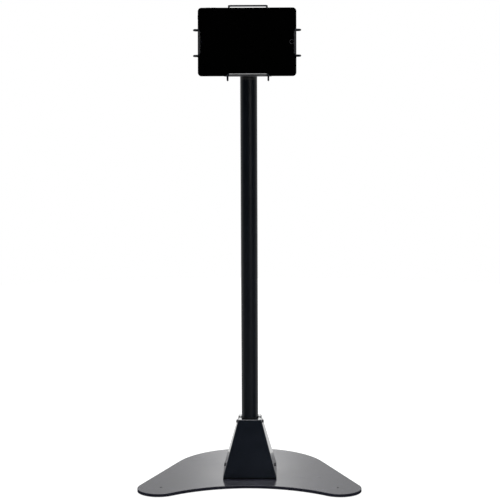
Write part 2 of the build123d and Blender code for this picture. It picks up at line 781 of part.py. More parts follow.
for name, angle, edge, shift, spacing, arm_back, lock_reach, travel in arms:
    plane = arm_plane(angle)
    arm_front = arm_back + arm_thick
    head_span = spacing + wire_dia + 2 * arm_head_spare
    head_outer = edge - arm_head_back
    head_inner = head_outer - arm_head_width

    # Flat arm with a T-shaped end and a long slot for its lock screw
    with BuildPart() as arm:
        with BuildSketch(plane.offset(arm_back)):
            with Locations(((arm_inner_end + head_outer) / 2, shift)):
                Rectangle(head_outer - arm_inner_end, arm_width)
            with Locations(((head_inner + head_outer) / 2, shift)):
                RectangleRounded(arm_head_width, head_span, arm_corner)
            with Locations((lock_reach - travel / 2, shift)):
                SlotCenterToCenter(travel, lock_dia + 2 * (hole_gap + arm_slot_spare), mode=Mode.SUBTRACT)
        extrude(amount=arm_thick)
    save(arm.part, name + "_arm")

    # Wire hook: its legs lie on the T and its bar crosses in front of the tablet
    wire_rear = arm_front + wire_dia / 2 + seat_gap
    leg_start = edge - wire_leg
    half = spacing / 2
    if name == "top":
        bar_out = edge + top_bar_rise
        bar_depth = face_reach + wire_dia / 2
        corners = [(leg_start, wire_rear), (bar_out, wire_rear), (bar_out, bar_depth)]
        bends = [wire_bend, wire_bend]
    else:
        bar_out = edge - sleeve_dia / 2
        bar_depth = face_reach + play_gap + sleeve_dia / 2
        tip_out = edge + ear_reach - wire_dia / 2
        corners = [(leg_start, wire_rear), (tip_out, wire_rear), (tip_out, bar_depth),
                   (bar_out, bar_depth)]
        turn = min(wire_turn, (bar_depth - wire_rear) * wire_turn_share)
        bends = [turn, turn, wire_bend]
    points = [hook_point(plane, out, shift + half, depth) for out, depth in corners]
    points += [hook_point(plane, out, shift - half, depth) for out, depth in reversed(corners)]
    with BuildPart() as hook:
        with BuildLine() as route:
            FilletPolyline(*points, radius=bends + bends[::-1])
        with BuildSketch(Plane(origin=route.line @ 0, z_dir=route.line % 0)):
            Circle(wire_dia / 2)
        sweep(path=route.line)
    save(hook.part, name + "_hook")

    # Sleeve on the bar
    if name != "top":
        sleeve_length = spacing - 2 * (wire_bend + sleeve_end_gap)
        across = Plane(origin=hook_point(plane, bar_out, shift - sleeve_length / 2, bar_depth),
                       x_dir=plane.x_dir, z_dir=plane.y_dir)
        with BuildPart() as sleeve:
            with BuildSketch(across):
                Circle(sleeve_dia / 2)
                Circle(wire_dia / 2 + fit_gap, mode=Mode.SUBTRACT)
            extrude(amount=sleeve_length)
        save(sleeve.part, name + "_sleeve")

    # Rest whose sloping lip meets the bevel of the tablet's rear edge
    rest_front = tablet_back - play_gap
    lip_out = edge - rest_setback
    lip_front = tablet_back + tablet_bevel - rest_setback - rest_bevel_gap
    profile = Plane(origin=hook_point(plane, 0, shift, 0), x_dir=plane.x_dir, z_dir=-plane.y_dir)
    with BuildPart() as rest:
        with BuildSketch(profile):
            with BuildLine():
                Polyline((edge - rest_width, arm_front), (lip_out, arm_front), (lip_out, lip_front),
                         (lip_out - (lip_front - rest_front), rest_front),
                         (edge - rest_width, rest_front), close=True)
            make_face()
        extrude(amount=head_span / 2, both=True)
        for side in (-1, 1):
            leg = Plane(origin=hook_point(plane, lip_out, shift + side * half, wire_rear),
                        x_dir=plane.y_dir, z_dir=plane.x_dir)
            groove = wire_dia / 2 + fit_gap
            with BuildSketch(leg.offset(cut_over)):
                Circle(groove)
                with Locations((0, -groove)):
                    Rectangle(2 * groove, 2 * groove)
            extrude(amount=-rest_width - wire_leg, mode=Mode.SUBTRACT)
    save(rest.part, name + "_rest")

# Tablet: body, glass and the round button at its right end
button_x = tablet_shift + tablet_width / 2 - button_from_edge
button_well = button_recess + button_thick + button_travel + play_gap - glass_thick
with BuildPart() as tablet_body:
    with BuildSketch(head.offset(tablet_back)):
        with Locations((tablet_shift, 0)):
            RectangleRounded(tablet_width, tablet_height, tablet_corner)
    extrude(amount=tablet_thick - glass_thick)
    rear_face = tablet_body.faces().sort_by(Axis(head.origin, head.z_dir))[0]
    chamfer(rear_face.edges(), tablet_bevel)
    with BuildSketch(head.offset(face_reach - glass_thick)):
        with Locations((button_x, 0)):
            Circle(button_dia / 2 + hole_gap)
    extrude(amount=-button_well, mode=Mode.SUBTRACT)
save(tablet_body.part, "tablet_body")

with BuildPart() as tablet_glass:
    with BuildSketch(head.offset(face_reach - glass_thick)):
        with Locations((tablet_shift, 0)):
            RectangleRounded(tablet_width - 2 * glass_inset, tablet_height - 2 * glass_inset,
                             tablet_corner - glass_inset)
        with Locations((button_x, 0)):
            Circle(button_dia / 2 + hole_gap, mode=Mode.SUBTRACT)
    extrude(amount=glass_thick)
save(tablet_glass.part, "tablet_glass")

with BuildPart() as tablet_button:
    with BuildSketch(head.offset(face_reach - button_recess)):
        with Locations((button_x, 0)):
            Circle(button_dia / 2)
    extrude(amount=-button_thick)
save(tablet_button.part, "tablet_button")
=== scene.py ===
import json
import math

import bmesh
import bpy
from bpy.props import FloatProperty, FloatVectorProperty, PointerProperty
from bpy.types import Operator, Panel, PropertyGroup
from mathutils import Matrix, Vector


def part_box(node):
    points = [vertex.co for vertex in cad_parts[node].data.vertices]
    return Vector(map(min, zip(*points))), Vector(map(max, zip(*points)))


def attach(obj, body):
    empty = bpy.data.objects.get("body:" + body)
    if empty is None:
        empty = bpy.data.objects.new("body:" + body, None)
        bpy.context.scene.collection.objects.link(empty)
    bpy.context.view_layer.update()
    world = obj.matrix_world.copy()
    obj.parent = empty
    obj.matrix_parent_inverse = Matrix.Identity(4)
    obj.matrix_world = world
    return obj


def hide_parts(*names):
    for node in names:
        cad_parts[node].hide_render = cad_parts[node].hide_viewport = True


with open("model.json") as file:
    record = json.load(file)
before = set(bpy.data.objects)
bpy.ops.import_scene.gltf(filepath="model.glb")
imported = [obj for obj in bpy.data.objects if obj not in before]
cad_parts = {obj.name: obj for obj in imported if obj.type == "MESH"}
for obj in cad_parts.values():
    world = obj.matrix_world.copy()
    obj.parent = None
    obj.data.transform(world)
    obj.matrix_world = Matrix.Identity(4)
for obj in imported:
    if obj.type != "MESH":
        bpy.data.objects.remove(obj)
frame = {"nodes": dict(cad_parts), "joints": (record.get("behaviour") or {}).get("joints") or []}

bl_info = {
    "name": "Tablet floor stand looks",
    "version": (1, 0, 0),
    "blender": (4, 5, 0),
    "location": "3D View > Sidebar > Floor stand",
    "description": "Finishes and fine pieces of a floor stand that holds a tablet on a tall pole",
    "category": "Object",
}

# The frame gives the places: the tilt axis, the screen's outward direction and the head's own up
JOINTS = {joint["name"]: joint for joint in frame["joints"]}
TILT_AXIS = Vector(JOINTS["head_tilt"]["pos_m"])
SCREEN_OUT = Vector(JOINTS["cradle_turn"]["axis"]).normalized()
HEAD_UP = Vector(JOINTS["top_arm_slide"]["axis"]).normalized()
HEAD = Matrix((
    (1, HEAD_UP.x, SCREEN_OUT.x, TILT_AXIS.x),
    (0, HEAD_UP.y, SCREEN_OUT.y, TILT_AXIS.y),
    (0, HEAD_UP.z, SCREEN_OUT.z, TILT_AXIS.z),
    (0, 0, 0, 1),
))
SIDEWAYS = Vector((1, 0, 0))
SIDES = ("right", "top", "left", "bottom")
MM = 0.001
SAME_POINT = 0.000002
WHITE = (1, 1, 1, 1)
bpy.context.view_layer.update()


def span(node, direction):
    """Lowest and highest reach of a node along a direction, counted from the tilt axis."""
    reach = [(vertex.co - TILT_AXIS).dot(direction)
             for vertex in frame["nodes"][node].data.vertices]
    return min(reach), max(reach)


def middle(node):
    """Centre of a node's box."""
    low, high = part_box(node)
    return (low + high) / 2


def on_each_side(kind):
    """Names of the nodes of a kind, one on each side of the tablet."""
    return [side + "_" + kind for side in SIDES]


# ---------------------------------------------------------------- shader maths

class Signal:
    """A socket that takes part in arithmetic; each operator adds its Math node."""

    def __init__(self, tree, socket):
        self.tree = tree
        self.socket = socket

    def joined(self, operation, first, second):
        node = self.tree.nodes.new("ShaderNodeMath")
        node.operation = operation
        for slot, value in zip(node.inputs, (first, second)):
            if isinstance(value, Signal):
                self.tree.links.new(value.socket, slot)
            else:
                slot.default_value = value
        return Signal(self.tree, node.outputs["Value"])

    def __add__(self, other):
        return self.joined("ADD", self, other)

    def __radd__(self, other):
        return self.joined("ADD", other, self)

    def __rsub__(self, other):
        return self.joined("SUBTRACT", other, self)

    def __mul__(self, other):
        return self.joined("MULTIPLY", self, other)


class Shading:
    """Node tree of one material or world while it is put together."""

    def __init__(self, tree):
        self.tree = tree
        self.tree.nodes.clear()

    def node(self, kind, settings=None, values=None, output=0):
        """A node of any type: its settings first, then its sockets' values or links."""
        made = self.tree.nodes.new(kind)
        for name, setting in (settings or {}).items():
            setattr(made, name, setting)
        for name, value in (values or {}).items():
            if isinstance(value, Signal):
                self.tree.links.new(value.socket, made.inputs[name])
            else:
                made.inputs[name].default_value = value
        return Signal(self.tree, made.outputs[output])

    def place(self):
        """Object coordinates, in metres."""
        return self.node("ShaderNodeTexCoord", output="Object")

    def stretched(self, place, scale, turn=(0, 0, 0)):
        """Coordinates turned and then scaled along each axis."""
        return self.node("ShaderNodeMapping", None,
                         {"Vector": place, "Scale": scale, "Rotation": turn})

    def noise(self, place, scale, detail=2, roughness=0.5):
        """Cloudy value from 0 to 1, with this many cells to the metre."""
        return self.node("ShaderNodeTexNoise", {"noise_dimensions": "3D"},
                         {"Vector": place, "Scale": scale, "Detail": detail,
                          "Roughness": roughness})

    def cells(self, place, scale):
        """Distance to the nearest cell's centre."""
        return self.node("ShaderNodeTexVoronoi", None, {"Vector": place, "Scale": scale})

    def between(self, value, low, high, new_low=0.0, new_high=1.0):
        """Value's range from low to high stretched onto a new one, and held at its ends."""
        return self.node("ShaderNodeMapRange", {"clamp": True},
                         {"Value": value, "From Min": low, "From Max": high, "To Min": new_low,
                          "To Max": new_high})

    def tint(self, mask, dark, light):
        """Colour that goes from dark to light with a mask."""
        made = self.tree.nodes.new("ShaderNodeMix")
        made.data_type = "RGBA"
        self.tree.links.new(mask.socket, made.inputs["Factor"])
        made.inputs[6].default_value = dark
        made.inputs[7].default_value = light
        return Signal(self.tree, made.outputs[2])

    def relief(self, height, depth):
        """Normal of a surface whose height signal stands for this depth in metres."""
        return self.node("ShaderNodeBump", None,
                         {"Height": height, "Distance": depth, "Strength": 1.0})

    def rays(self):
        """Masks: 1 for the camera's own rays, and 1 for rays from a mirror or through glass."""
        seen, mirrored, through = (self.node("ShaderNodeLightPath", output="Is %s Ray" % kind)
                                   for kind in ("Camera", "Glossy", "Transmission"))
        return seen, mirrored + through

    def join_output(self, shader, output="ShaderNodeOutputMaterial"):
        """Joins a shader to the tree's output."""
        last = self.tree.nodes.new(output)
        self.tree.links.new(shader.socket, last.inputs["Surface"])

    def surface(self, values, constants=None):
        """Principled surface: signals and constants for its sockets."""
        sockets = {**(constants or {}), **values}
        self.join_output(self.node("ShaderNodeBsdfPrincipled", None, sockets))


def new_finish(name):
    """Empty material and its shading."""
    material = bpy.data.materials.new(name)
    material.use_nodes = True
    return material, Shading(material.node_tree)


def shade(colour, factor=1.0):
    """Opaque colour, made lighter or darker."""
    return (colour[0] * factor, colour[1] * factor, colour[2] * factor, 1)


# ---------------------------------------------------------------- finishes

def powder_coat(name, colour, roughness, coat, coat_roughness, peel, shine=0.5):
    """Satin powder coating: fine peel, faint cloudiness and small changes of gloss."""
    material, s = new_finish(name)
    place = s.place()
    fine = s.noise(place, 1500, 3, 0.55)
    broad = s.noise(place, 9, 3, 0.6)
    clouds = s.between(broad, 0.35, 0.65)
    specks = s.between(s.noise(place, 2600, 1), 0.62, 0.75)
    s.surface(
        {
            "Base Color": s.tint(clouds * 0.5 + specks * 0.5, shade(colour, 0.85),
                                 shade(colour, 1.35)),
            "Roughness": roughness + clouds * 0.05 + fine * 0.04,
            "Normal": s.relief(fine, peel),
        },
        {"IOR": 1.5, "Coat Weight": coat, "Coat Roughness": coat_roughness, "Coat IOR": 1.5,
         "Specular IOR Level": shine},
    )
    return material


def plate_coat(name, colour, roughness, coat, coat_roughness):
    """Coating of the wide plate, with the faint drag lines that wiping leaves on it."""
    material, s = new_finish(name)
    place = s.place()
    fine = s.noise(place, 1100, 3, 0.55)
    broad = s.noise(place, 7, 3, 0.6)
    clouds = s.between(broad, 0.35, 0.65)
    long_lines = s.noise(s.stretched(place, (3, 160, 1), (0, 0, 0.35)), 1, 2)
    lines = s.between(long_lines, 0.60, 0.75)
    scuffs = s.between(s.noise(place, 60, 4, 0.7), 0.66, 0.78)
    s.surface(
        {
            "Base Color": s.tint(clouds * 0.6 + lines * 0.4, shade(colour, 0.85),
                                 shade(colour, 1.4)),
            "Roughness": roughness + clouds * 0.05 + lines * 0.05 + scuffs * 0.06,
            "Normal": s.relief(fine, 0.00002),
        },
        {"IOR": 1.5, "Coat Weight": coat, "Coat Roughness": coat_roughness, "Coat IOR": 1.5},
    )
    return material


def moulded_plastic(name, colour, roughness, grain, polish=0.0):
    """Moulded plastic with a fine eroded grain."""
    material, s = new_finish(name)
    place = s.place()
    pits = s.cells(place, 2200)
    wide = s.noise(place, 30, 2)
    s.surface(
        {
            "Base Color": s.tint(s.between(wide, 0.3, 0.7), shade(colour, 0.9),
                                 shade(colour, 1.25)),
            "Roughness": roughness + wide * 0.08,
            "Normal": s.relief(pits, grain),
        },
        {"IOR": 1.46, "Coat Weight": polish, "Coat Roughness": 0.1, "Coat IOR": 1.5},
    )
    return material


def soft_rubber(name, colour, shine=0.5):
    """Dull rubber with a dusty bloom."""
    material, s = new_finish(name)
    place = s.place()
    bloom = s.between(s.noise(place, 140, 4, 0.6), 0.4, 0.75)
    fine = s.noise(place, 1800, 2)
    s.surface(
        {
            "Base Color": s.tint(bloom, shade(colour), shade(colour, 1.8)),
            "Roughness": 0.72 + bloom * 0.16,
            "Normal": s.relief(fine, 0.00003),
        },
        {"IOR": 1.5, "Specular IOR Level": shine},
    )
    return material


def open_foam(name, colour):
    """Foam sheet with small open cells, darker in their pits as painted shade."""
    material, s = new_finish(name)
    place = s.place()
    cells = s.cells(place, 900)
    s.surface(
        {
            # Base colour darker where the cells' pits sink: painted shade in the open cells
            "Base Color": s.tint(s.between(cells, 0.1, 0.6), shade(colour, 0.6),
                                 shade(colour, 1.7)),
            "Roughness": 0.86 + cells * 0.1,
            "Normal": s.relief(cells, 0.0002),
        },
        {"IOR": 1.4},
    )
    return material


def plated_steel(name, colour, roughness, streaks):
    """Plated steel with a turned or drawn grain and a few duller spots."""
    material, s = new_finish(name)
    place = s.place()
    drawn = s.noise(s.stretched(place, streaks), 1, 3, 0.6)
    dull = s.between(s.noise(place, 90, 3), 0.5, 0.75)
    s.surface(
        {
            "Base Color": s.tint(drawn, shade(colour, 0.8), shade(colour, 1.1)),
            "Roughness": roughness + drawn * 0.12 + dull * 0.1,
            "Metallic": 1.0 - dull * 0.1,
            "Normal": s.relief(drawn, 0.00001),
        },
    )
    return material


def black_oxide(name, colour, roughness):
    """Blackened steel, oily and a little worn to grey."""
    material, s = new_finish(name)
    place = s.place()
    worn = s.between(s.noise(place, 500, 3, 0.6), 0.6, 0.8)
    s.surface(
        {
            "Base Color": s.tint(worn, shade(colour), shade(colour, 3)),
            "Roughness": roughness + worn * 0.1,
            "Metallic": 0.35 + worn * 0.4,
            "Normal": s.relief(s.noise(place, 1600, 2), 0.00001),
        },
    )
    return material


def cover_glass(name, colour):
    """Black tablet glass with faint smears of fingers."""
    material, s = new_finish(name)
    place = s.place()
    wiped = s.noise(s.stretched(place, (22, 22, 55), (0, 0.5, 0)), 1, 4, 0.65)
    smears = s.between(wiped, 0.52, 0.8)
    s.surface(
        {
            "Base Color": s.tint(smears, shade(colour), shade(colour, 1.5)),
            "Roughness": 0.025 + smears * 0.06,
        },
        {"IOR": 1.5},
    )
    return material


def anodised_shell(name, colour):
    """Blasted and anodised metal shell."""
    material, s = new_finish(name)
    place = s.place()
    blast = s.noise(place, 4500, 2)
    wide = s.noise(place, 25, 3)
    s.surface(
        {
            "Base Color": s.tint(wide, shade(colour, 0.9), shade(colour, 1.15)),
            "Roughness": 0.36 + blast * 0.08,
            "Metallic": 0.85 + wide * 0.1,
            "Normal": s.relief(blast, 0.000006),
        },
    )
    return material


def lens_glass(name, colour):
    """Dark lens with a faintly uneven coating."""
    material, s = new_finish(name)
    film = s.noise(s.place(), 260, 1)
    s.surface(
        {
            "Base Color": s.tint(film, shade(colour, 0.6), shade(colour, 1.6)),
            "Roughness": 0.03 + film * 0.02,
        },
        {"IOR": 1.6},
    )
    return material


def welded_steel(name, colour):
    """Painted weld bead, rougher than the tube beside it."""
    material, s = new_finish(name)
    place = s.place()
    spatter = s.cells(place, 700)
    s.surface(
        {
            "Base Color": s.tint(spatter, shade(colour, 1.3), shade(colour, 0.8)),
            "Roughness": 0.42 + spatter * 0.1,
            "Normal": s.relief(spatter, 0.0001),
        },
        {"IOR": 1.5},
    )
    return material


# ---------------------------------------------------------------- making pieces

def soften(bm, angle=math.radians(32)):
    """Smooth shading that keeps edges sharper than an angle."""
    for face in bm.faces:
        face.smooth = True
    for edge in bm.edges:
        edge.smooth = len(edge.link_faces) == 2 and edge.calc_face_angle(0) < angle


def add_piece(name, bm, material, body):
    """Object from a finished bmesh that rides on a body."""
    bmesh.ops.remove_doubles(bm, verts=bm.verts, dist=SAME_POINT)
    bmesh.ops.recalc_face_normals(bm, faces=bm.faces)
    soften(bm)
    mesh = bpy.data.meshes.new(name)
    bm.to_mesh(mesh)
    bm.free()
    mesh.materials.append(material)
    piece = bpy.data.objects.new(name, mesh)
    bpy.context.scene.collection.objects.link(piece)
    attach(piece, body)
    return piece


def give(material, *nodes):
    """Material for CAD nodes."""
    for node in nodes:
        mesh = frame["nodes"][node].data
        mesh.materials.clear()
        mesh.materials.append(material)
        for polygon in mesh.polygons:
            polygon.material_index = 0


def in_head(x, y, z, angle=0, axis="X"):
    """Place in the head's own frame, turned about one of its axes."""
    return HEAD @ Matrix.Translation((x, y, z)) @ Matrix.Rotation(angle, 4, axis)


def weld_section(bm, place):
    """Round section of a weld bead that runs along Y."""
    ring = bmesh.ops.create_circle(bm, segments=10, radius=sizes().weld_width / 2)
    bmesh.ops.rotate(bm, verts=ring["verts"], cent=(0, 0, 0),
                     matrix=Matrix.Rotation(math.pi / 2, 3, "X"))
    bmesh.ops.translate(bm, verts=ring["verts"], vec=place)


def turned(bm, outline, steps, place):
    """Solid of revolution from an outline of radius and height, put in its place."""
    verts = [bm.verts.new((radius, 0, height)) for radius, height in outline]
    edges = [bm.edges.new(pair) for pair in zip(verts, verts[1:])]
    bmesh.ops.spin(bm, geom=verts + edges, cent=(0, 0, 0), axis=(0, 0, 1), angle=math.tau,
                   steps=steps, use_merge=True)
    bmesh.ops.remove_doubles(bm, verts=bm.verts, dist=SAME_POINT)
    bmesh.ops.transform(bm, matrix=place, verts=bm.verts)


def merged(parts):
    """One bmesh from several."""
    whole = bmesh.new()
    for part in parts:
        mesh = bpy.data.meshes.new("part")
        part.to_mesh(mesh)
        part.free()
        whole.from_mesh(mesh)
        bpy.data.meshes.remove(mesh)
    return whole


def rounded_slab(width, height, thickness, corner, edge, segments=6):
    """Slab with rounded corners and softened edges, lying flat round the origin."""
    bm = bmesh.new()
    bmesh.ops.create_cube(bm, size=1)
    bmesh.ops.scale(bm, vec=(width, height, thickness), verts=bm.verts)
    upright = [e for e in bm.edges if abs(e.verts[0].co.z - e.verts[1].co.z) > thickness / 2]
    bmesh.ops.bevel(bm, geom=upright, offset=corner, offset_type="OFFSET", segments=segments,
                    profile=0.5, affect="EDGES", material=-1)
    level = [e for e in bm.edges if abs(e.verts[0].co.z - e.verts[1].co.z) < thickness / 4]
    bmesh.ops.bevel(bm, geom=level, offset=edge, offset_type="OFFSET", segments=3, profile=0.5,
                    affect="EDGES", material=-1)
    return bm


# ---------------------------------------------------------------- settings

def measure(name, description, metres):
    return FloatProperty(name=name, description=description, default=metres, unit="LENGTH")


def tone(name, description, colour):
    return FloatVectorProperty(name=name, description=description, size=3, subtype="COLOR",
                               default=colour, min=0, max=1)


class StandSizes(PropertyGroup):
    """Sizes of the fine pieces."""

    weld_width: measure("Weld width", "Width of the weld beads", 0.0036)
    foam_edge: measure("Foam edge", "Rounding of the foam sheet's edge", 0.0008)
    knob_cap: measure("Knob cap", "Radius of the caps on the small knobs", 0.0055)
    large_knob_cap: measure("Large knob cap", "Radius of the cap on the tilt knob", 0.0105)
    front_lens: measure("Front lens", "Radius of the lens beside the screen", 0.0016)
    rear_lens: measure("Rear lens", "Radius of the lens on the tablet's back", 0.0042)


class StandColours(PropertyGroup):
    """Colours of the finishes."""

    coat: tone("Coating", "Powder coating of the steel", (0.0054, 0.0074, 0.0119))
    # pole: a darker copy of the coating, painted shade for the dimmer light on the pole below the
    # tablet
    pole: tone("Pole", "Coating of the pole", (0.0022, 0.0042, 0.0080))
    cover: tone("Cover", "Coating of the cover", (0.0080, 0.0110, 0.0175))
    # seam: near-black of the ring, the plugs and the skirt seen in the cover's gaps; black parts
    # made darker still as painted shade of the gaps
    seam: tone("Seam", "Ring and inner rim in the cover's gaps", (0.002, 0.002, 0.0022))
    plate: tone("Plate", "Coating of the base plate", (0.013, 0.0135, 0.022))
    plastic: tone("Plastic", "Moulded plastic", (0.010, 0.010, 0.0105))
    sleeve: tone("Sleeve", "Sleeves on the hooks' front bars", (0.03, 0.03, 0.032))
    rubber: tone("Rubber", "Floor pads and foam", (0.008, 0.008, 0.008))
    plating: tone("Plating", "Plated steel", (0.60, 0.61, 0.62))
    glass: tone("Glass", "Tablet's glass", (0.0002, 0.0002, 0.00025))
    shell: tone("Shell", "Tablet's shell", (0.055, 0.056, 0.060))
    disc: tone("Discs", "Friction discs of the joints", (0.55, 0.54, 0.50))
    # ring: light grey of the button ring, a painted highlight in place of the metal ring's glint
    ring: tone("Button ring", "Ring round the tablet's button", (0.2, 0.2, 0.21))
    lens: tone("Lenses", "Tablet's lenses", (0.01, 0.01, 0.016))
    # slot: near-black of the slabs that stand for the tablet's port and speaker openings, painted
    # shade
    slot: tone("Slots", "Tablet's port and speaker slots", (0.003, 0.003, 0.003))
    floor: tone("Floor", "Studio floor", (0.86, 0.86, 0.86))


def sizes():
    return bpy.context.scene.stand_sizes


def colours():
    return bpy.context.scene.stand_colours


# ---------------------------------------------------------------- operators: finishes

class STAND_OT_coat_base(Operator):
    """Coats the base plate and gives its pads their rubber"""
    bl_idname = "stand.coat_base"
    bl_label = "Coat the base"

    def execute(self, context):
        give(plate_coat("plate_coat", colours().plate, 0.19, 0.15, 0.1), "base_plate")
        give(soft_rubber("pad_rubber", colours().rubber), "floor_pads")
        return {"FINISHED"}


class STAND_OT_coat_column(Operator):
    """Coats the pole, the neck and the cover at the pole's foot; the pole's darker colour and the
    near-black in the cover's gaps are painted shade
    """
    bl_idname = "stand.coat_column"
    bl_label = "Coat the column"

    def execute(self, context):
        # The pole, its flange and the neck take the darker pole colour: painted shade, the same
        # paint as the other steel shown darker
        pole = powder_coat("pole_coat_with_painted_shade", colours().pole, 0.34, 0.0, 0.15, 0.00002, 0.3)
        give(pole, "pole", "pole_flange", "neck")
        cover = powder_coat("cover_coat", colours().cover, 0.2, 0.7, 0.08, 0.00001)
        give(cover, "front_cover", "rear_cover")
        # The skirt in the gap under the cover is near-black with little shine: painted shade for
        # the shadow gap between cover and plate
        give(powder_coat("skirt_coat_painted_shade", colours().seam, 0.6, 0.0, 0.3, 0.00001, 0.1), "cover_skirt")
        # The ring at the pole's foot and the cover's plugs are black rubber, darkened further as
        # painted shade of the gap round the pole
        give(soft_rubber("ring_rubber_painted_shade", colours().seam, 0.15), "pole_ring", "cover_plugs")
        give(moulded_plastic("cap_plastic", colours().plastic, 0.42, 0.00003), "pole_cap",
             "neck_bushing", "cover_block")
        return {"FINISHED"}


class STAND_OT_coat_head(Operator):
    """Coats the tilting arm, the cradle, its sliding arms and the wire hooks"""
    bl_idname = "stand.coat_head"
    bl_label = "Coat the head"

    def execute(self, context):
        head = powder_coat("head_coat", colours().coat, 0.36, 0.3, 0.2, 0.000025)
        give(head, "tilt_arm", "cradle_back", "cradle_front", *on_each_side("arm"))
        wire = powder_coat("wire_coat", colours().coat, 0.5, 0.0, 0.15, 0.00001, 0.2)
        give(wire, *on_each_side("hook"))
        sleeve = moulded_plastic("sleeve_plastic", colours().sleeve, 0.16, 0.000004, 1.0)
        give(sleeve, "right_sleeve", "left_sleeve", "bottom_sleeve")
        grip = moulded_plastic("grip_plastic", colours().plastic, 0.46, 0.00004)
        give(grip, "cradle_guide", *on_each_side("rest"))
        knob = moulded_plastic("knob_plastic", colours().plastic, 0.38, 0.00003)
        give(knob, "tilt_knob", *on_each_side("lock_screw"))
        give(moulded_plastic("disc_plastic", colours().disc, 0.5, 0.00002), "tilt_discs",
             "turn_disc")
        return {"FINISHED"}


class STAND_OT_plate_hardware(Operator):
    """Gives the screws, bolts, nuts and washers their plating or blackening"""
    bl_idname = "stand.plate_hardware"
    bl_label = "Plate the hardware"

    def execute(self, context):
        zinc = plated_steel("zinc_plating", colours().plating, 0.28, (700, 60, 700))
        give(zinc, "flange_screws", "skirt_screws", "tilt_bolt", "tilt_washer", "turn_bolt",
             "turn_washer", "turn_nut", "lock_nuts", "lock_washers")
        black = black_oxide("blackened_steel", colours().coat, 0.36)
        give(black, "cover_screws", "neck_screws", "cradle_screws")
        return {"FINISHED"}


class STAND_OT_finish_tablet(Operator):
    """Gives the tablet its glass, shell and button"""
    bl_idname = "stand.finish_tablet"
    bl_label = "Finish the tablet"

    def execute(self, context):
        give(cover_glass("tablet_glass", colours().glass), "tablet_glass")
        give(anodised_shell("tablet_shell", colours().shell), "tablet_body")
        give(cover_glass("button_glass", colours().glass), "tablet_button")
        return {"FINISHED"}


# ---------------------------------------------------------------- operators: pieces

class STAND_OT_foam_sheet(Operator):
    """Foam sheet between the cradle's front plate and the tablet"""
    bl_idname = "stand.foam_sheet"
    bl_label = "Foam sheet"

    def execute(self, context):
        left, right = span("foam_pad", SIDEWAYS)
        low, high = span("foam_pad", HEAD_UP)
        rear, front = span("foam_pad", SCREEN_OUT)
        bm = rounded_slab(right - left, high - low, front - rear, 8 * MM, sizes().foam_edge)
        place = in_head((left + right) / 2, (low + high) / 2, (rear + front) / 2)
        bmesh.ops.transform(bm, matrix=place, verts=bm.verts)
        sheet = add_piece("foam_sheet", bm, open_foam("foam", colours().rubber), "cradle")
        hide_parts("foam_pad")
        return {"FINISHED"}


class STAND_OT_neck_weld(Operator):
    """Weld bead where the neck tube meets the knuckle of the tilt joint"""
    bl_idname = "stand.neck_weld"
    bl_label = "Neck weld"

    def execute(self, context):
        low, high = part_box("neck")
        knuckle = (high.y - low.y) / 2
        foot = [v.co for v in frame["nodes"]["neck"].data.vertices if v.co.z < low.z + MM]
        tube = max(co.x for co in foot)
        ripples, ripple_height = 30, 0.00022
        bm = bmesh.new()
        weld_section(bm, (tube + 0.3 * MM, 0, 0))
        bmesh.ops.spin(bm, geom=bm.verts[:] + bm.edges[:], cent=(0, 0, 0), axis=(0, 0, 1),
                       angle=math.tau, steps=180, use_merge=True)
        for vertex in bm.verts:
            angle = math.atan2(vertex.co.y, vertex.co.x)
            ripple = ripple_height * math.sin(ripples * angle)
            outwards = Vector((math.cos(angle), math.sin(angle), 0))
            along = tube * math.sin(angle)
            vertex.co += outwards * ripple
            vertex.co.z += ripple - math.sqrt(knuckle ** 2 - along ** 2)
        bmesh.ops.translate(bm, verts=bm.verts, vec=TILT_AXIS)
        add_piece("neck_weld", bm, welded_steel("weld", colours().coat), "base")
        return {"FINISHED"}


class STAND_OT_arm_welds(Operator):
    """Weld beads where the tilting arm's cheeks meet its round web"""
    bl_idname = "stand.arm_welds"
    bl_label = "Arm welds"

    def execute(self, context):
        web_back = span("turn_washer", SCREEN_OUT)[1] + 0.1 * MM
        cheek = span("tilt_washer", SIDEWAYS)[0]
        length, steps = 26 * MM, 78
        ripples, swelling = 14, 0.12
        taper = 1.5 * MM
        beads = []
        for side in (-1, 1):
            bm = bmesh.new()
            weld_section(bm, (0, -length / 2, 0))
            bmesh.ops.spin(bm, geom=bm.verts[:] + bm.edges[:], cent=(0, 0, 0), axis=(1, 0, 0),
                           angle=0, dvec=(0, length / steps, 0), steps=steps)
            for vertex in bm.verts:
                swell = 1 + swelling * math.sin(vertex.co.y / length * ripples * math.tau)
                end = min(1, (length / 2 - abs(vertex.co.y)) / taper + 0.35)
                vertex.co.x *= swell * end
                vertex.co.z *= swell * end
            bmesh.ops.holes_fill(bm, edges=[e for e in bm.edges if len(e.link_faces) == 1])
            bmesh.ops.transform(bm, matrix=in_head(side * cheek, 0, web_back), verts=bm.verts)
            beads.append(bm)
        weld = bpy.data.materials["weld"]
        add_piece("arm_welds", merged(beads), weld, "tilt_head")
        return {"FINISHED"}


class STAND_OT_button_ring(Operator):
    """Thin ring round the tablet's button, grey plastic whose light grey is a painted highlight
    for the glint of the real metal ring
    """
    bl_idname = "stand.button_ring"
    bl_label = "Button ring"

    def execute(self, context):
        centre = middle("tablet_button")
        left, right = span("tablet_button", SIDEWAYS)
        radius = (right - left) / 2
        glass = span("tablet_glass", SCREEN_OUT)[1]
        top = glass - 0.05 * MM
        inner = radius + 0.03 * MM
        outer = radius + 0.27 * MM
        bm = bmesh.new()
        local = HEAD.inverted() @ centre
        place = in_head(local.x, local.y, 0)
        turned(bm, [(inner, top - 0.6 * MM), (inner, top - 0.05 * MM), (inner + 0.06 * MM, top),
                    (outer - 0.06 * MM, top), (outer, top - 0.05 * MM), (outer, top - 0.6 * MM),
                    (inner, top - 0.6 * MM)], 96, place)
        # The ring's light grey is a painted highlight, standing in for the glint of the metal ring
        ring = moulded_plastic("ring_painted_highlight", colours().ring, 0.3, 0.000002)
        add_piece("button_ring", bm, ring, "cradle")
        return {"FINISHED"}


